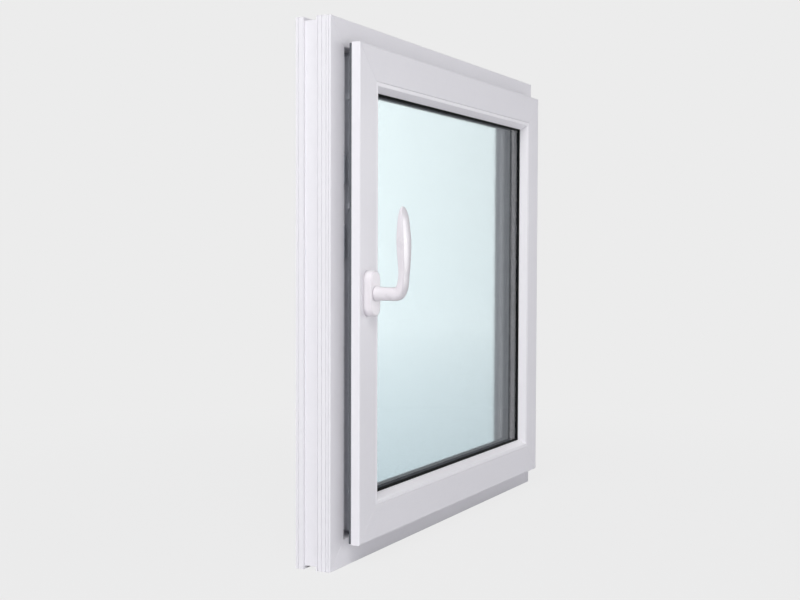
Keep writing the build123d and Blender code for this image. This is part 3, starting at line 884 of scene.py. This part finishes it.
    def build(self) -> None:
        """Build the lever and the rosette."""
        lacquer = LacqueredCasting("white_lacquer_on_casting").build()
        finish_piece("rosette_cover", self.rosette_mesh(lacquer), Body.SASH,
                     ("handle_rosette",))
        finish_piece("lever_skin", self.lever_mesh(lacquer), Body.HANDLE,
                     ("handle_lever",))


@dataclass(frozen=True)
class SoftLamp:
    """Large lamp that faces the window: power in watts, sizes in metres, and the way to it."""

    name: str
    power: float
    size: tuple[float, float]
    distance: float
    way: tuple[float, float, float]

    def hang(self, middle: Vector) -> None:
        """Hang the lamp.

        Args:
            middle: Point on the window that it faces.
        """
        lamp = bpy.data.lights.new(self.name, "AREA")
        lamp.shape, lamp.energy = "RECTANGLE", self.power
        lamp.size, lamp.size_y = self.size
        holder = bpy.data.objects.new(self.name, lamp)
        place = self.distance * Vector(self.way)
        turn = place.to_track_quat("Z", "Y").to_matrix().to_4x4()
        holder.matrix_world = Matrix.Translation(middle + place) @ turn
        holder.visible_camera = False
        bpy.context.scene.collection.objects.link(holder)


@dataclass
class Studio:
    """Pale floor, soft light and the camera of the photograph.

    Rays from the camera see the flat backdrop, mirrored ones a darker room, and those through the
    glass a pale blue outdoors: glass_near_painted_shade on the ground close by, which is painted
    shade that darkens the ground next to the window and fades out over painted_shade_reach,
    glass_low towards the horizon and glass_high above it. The room's own light fades from
    room_level in front of the window to outdoor_level behind it. Close to the window the floor
    shows its own paint and shadow beside the backdrop, in the share that floor_share leaves, and
    further out the backdrop alone. Sizes and distances are in metres.
    """

    backdrop: str = "#ececec"
    mirrored: str = "#86898e"
    glass_high: str = "#f1f8fa"
    glass_low: str = "#edf5f8"
    # Painted shade: the ground seen through the glass is darker close to the window.
    glass_near_painted_shade: str = "#bccad1"
    glass_strength: float = 1.76
    horizon: tuple[float, float] = (-0.1, 0.16)
    painted_shade_reach: tuple[float, float] = (0.3, 6.0)
    room_light: str = "#fbf9ff"
    room_level: float = 0.375
    outdoor_level: float = 0.345
    level_change: float = 0.6
    floor_paint: str = "#efeff1"
    floor_share: float = 0.95
    floor_fade: tuple[float, float] = (0.5, 1.6)
    floor_half: float = 30.0
    camera_place: tuple[float, float, float] = (-1.97794, -0.92623, 0.47792)
    camera_yaw: float = math.radians(63.15067)
    camera_pitch: float = math.radians(-2.17717)
    camera_roll: float = math.radians(0.18466)
    camera_lens_mm: float = 54.743
    camera_sensor_mm: float = 36.0
    camera_reach: tuple[float, float] = (0.05, 200.0)
    window_middle: tuple[float, float, float] = (0.0, 0.0, 0.45)
    key: SoftLamp = SoftLamp("key_lamp", 270.0, (4.0, 4.0), 6.0, (-0.745, -0.245, 0.62))
    fill: SoftLamp = SoftLamp("fill_lamp", 33.0, (2.2, 1.4), 4.4, (0.69, -0.714, 0.06))

    def camera(self) -> None:
        """Set the camera up where the photograph was taken from."""
        yaw, pitch, roll = self.camera_yaw, self.camera_pitch, self.camera_roll
        ahead = Vector((math.sin(yaw) * math.cos(pitch), math.cos(yaw) * math.cos(pitch),
                        math.sin(pitch)))
        level = Vector((math.cos(yaw), -math.sin(yaw), 0))
        above = level.cross(ahead)
        right = math.cos(roll) * level + math.sin(roll) * above
        up = -math.sin(roll) * level + math.cos(roll) * above
        lens = bpy.data.cameras.new("studio_camera")
        lens.lens, lens.sensor_width = self.camera_lens_mm, self.camera_sensor_mm
        lens.clip_start, lens.clip_end = self.camera_reach
        holder = bpy.data.objects.new("studio_camera", lens)
        turn = Matrix((right, up, -ahead)).transposed().to_4x4()
        holder.matrix_world = Matrix.Translation(self.camera_place) @ turn
        bpy.context.scene.collection.objects.link(holder)
        bpy.context.scene.camera = holder

    @staticmethod
    def seen_share(tree: bpy.types.NodeTree) -> bpy.types.NodeSocket:
        """Add the part of a material that camera, mirror and glass rays see.

        Args:
            tree: Tree of the material or the world.

        Returns:
            A socket that is 1 for such rays and 0 for the light that falls on the window.
        """
        path = add_node(tree, "ShaderNodeLightPath").outputs
        bounced = add_node(tree, "ShaderNodeMath", {"operation": "MAXIMUM"}, {
            0: path["Is Glossy Ray"], 1: path["Is Transmission Ray"]})
        seen = add_node(tree, "ShaderNodeMath", {"operation": "MAXIMUM"}, {
            0: path["Is Camera Ray"], 1: bounced.outputs[0]})
        unspent = add_node(tree, "ShaderNodeMath", {"operation": "LESS_THAN"}, {
            0: path["Diffuse Depth"], 1: 0.5})
        return add_node(tree, "ShaderNodeMath", {"operation": "MULTIPLY"}, {
            0: seen.outputs[0], 1: unspent.outputs[0]}).outputs[0]

    def surroundings(self, tree: bpy.types.NodeTree, kind: str,
                     outdoors: bpy.types.NodeSocket) -> bpy.types.Node:
        """Add the glow that camera, mirror and glass rays find in place of the lit studio.

        Args:
            tree: Tree of the material or the world.
            kind: Type name of the glowing node.
            outdoors: Colour that shows through the glass.

        Returns:
            The glowing node.
        """
        path = add_node(tree, "ShaderNodeLightPath").outputs
        mirror = add_node(tree, "ShaderNodeMath", {"operation": "GREATER_THAN"}, {
            0: path["Glossy Depth"], 1: 0.5})
        bounced = add_node(tree, "ShaderNodeMix", {"data_type": "RGBA"}, {
            "Factor": mirror.outputs[0], "A": outdoors, "B": linear_rgba(self.mirrored)})
        behind = add_node(tree, "ShaderNodeMix", {"data_type": "RGBA"}, {
            "Factor": path["Is Camera Ray"], "A": bounced.outputs["Result"],
            "B": linear_rgba(self.backdrop)})
        plain = add_node(tree, "ShaderNodeMath", {"operation": "MAXIMUM"}, {
            0: path["Is Camera Ray"], 1: mirror.outputs[0]})
        strength = add_node(tree, "ShaderNodeMapRange", inputs={
            "Value": plain.outputs[0], "To Min": self.glass_strength, "To Max": 1.0})
        return add_node(tree, kind, inputs={
            "Color": behind.outputs["Result"], "Strength": strength.outputs["Result"]})

    def world(self) -> None:
        """Light the room softly behind a flat pale backdrop."""
        world = bpy.data.worlds.new("studio_world")
        bpy.context.scene.world = world
        world.use_nodes = True
        tree = world.node_tree
        tree.nodes.clear()
        direction = add_node(tree, "ShaderNodeTexCoord").outputs["Generated"]
        parts = add_node(tree, "ShaderNodeSeparateXYZ", inputs={0: direction})
        level = add_node(tree, "ShaderNodeMapRange", inputs={
            "Value": parts.outputs["Y"], "From Min": -self.level_change,
            "From Max": self.level_change, "To Min": self.room_level, "To Max": self.outdoor_level})
        light = add_node(tree, "ShaderNodeBackground", inputs={
            "Color": linear_rgba(self.room_light), "Strength": level.outputs["Result"]})
        height = add_node(tree, "ShaderNodeMapRange", inputs={
            "Value": parts.outputs["Z"], "From Min": self.horizon[0], "From Max": self.horizon[1]})
        through_glass = add_node(tree, "ShaderNodeMix", {"data_type": "RGBA"}, {
            "Factor": height.outputs["Result"], "A": linear_rgba(self.glass_low),
            "B": linear_rgba(self.glass_high)})
        seen = self.surroundings(tree, "ShaderNodeBackground", through_glass.outputs["Result"])
        mixed = add_node(tree, "ShaderNodeMixShader", inputs={
            0: self.seen_share(tree), 1: light.outputs[0], 2: seen.outputs[0]})
        add_node(tree, "ShaderNodeOutputWorld", inputs={"Surface": mixed.outputs[0]})

    def floor(self) -> None:
        """Lay a pale floor that fades into the backdrop and keeps the window's shadow, with painted
        shade near the window where it is seen through the glass.
        """
        material, tree = start_material("matt_white_floor_paint")
        place = add_node(tree, "ShaderNodeTexCoord").outputs["Object"]
        away = add_node(tree, "ShaderNodeVectorMath", {"operation": "LENGTH"}, {0: place})
        plain = add_node(tree, "ShaderNodeMapRange", {"interpolation_type": "SMOOTHSTEP"}, {
            "Value": away.outputs["Value"], "From Min": self.floor_fade[0],
            "From Max": self.floor_fade[1], "To Min": self.floor_share, "To Max": 1.0})
        seen = add_node(tree, "ShaderNodeMath", {"operation": "MULTIPLY"}, {
            0: self.seen_share(tree), 1: plain.outputs["Result"]})
        paint = add_node(tree, "ShaderNodeBsdfDiffuse", inputs={
            "Color": linear_rgba(self.floor_paint)})
        # Painted shade: through the glass the ground is drawn darker close to the window, fading to
        # glass_low further out.
        far = add_node(tree, "ShaderNodeMapRange", inputs={
            "Value": away.outputs["Value"], "From Min": self.painted_shade_reach[0],
            "From Max": self.painted_shade_reach[1]})
        eased = add_node(tree, "ShaderNodeMath", {"operation": "POWER"}, {
            0: far.outputs["Result"], 1: 0.5})
        through_glass = add_node(tree, "ShaderNodeMix", {"data_type": "RGBA"}, {
            "Factor": eased.outputs[0], "A": linear_rgba(self.glass_near_painted_shade),
            "B": linear_rgba(self.glass_low)})
        glow = self.surroundings(tree, "ShaderNodeEmission", through_glass.outputs["Result"])
        mixed = add_node(tree, "ShaderNodeMixShader", inputs={
            0: seen.outputs[0], 1: paint.outputs[0], 2: glow.outputs[0]})
        add_node(tree, "ShaderNodeOutputMaterial", inputs={"Surface": mixed.outputs[0]})
        mesh = bpy.data.meshes.new("studio_floor")
        half = self.floor_half
        corners = [(-half, -half, 0), (half, -half, 0), (half, half, 0), (-half, half, 0)]
        mesh.from_pydata(corners, [], [(0, 1, 2, 3)])
        mesh.materials.append(material)
        floor = bpy.data.objects.new("studio_floor", mesh)
        bpy.context.scene.collection.objects.link(floor)

    def build(self) -> None:
        """Set up camera, world, floor and the two lamps."""
        self.camera()
        self.world()
        self.floor()
        for lamp in (self.key, self.fill):
            lamp.hang(Vector(self.window_middle))
        bpy.context.scene.view_settings.view_transform = "Standard"


def main() -> None:
    """Dress the window, add its finer pieces and light it."""
    logging.basicConfig(level=logging.INFO, format="%(name)s %(message)s")
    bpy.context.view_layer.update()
    OuterFrame().dress()
    Sash().dress()
    SealedUnit().dress()
    Hardware().dress()
    LeverHandle().build()
    Studio().build()


if __name__ == "__main__":
    main()
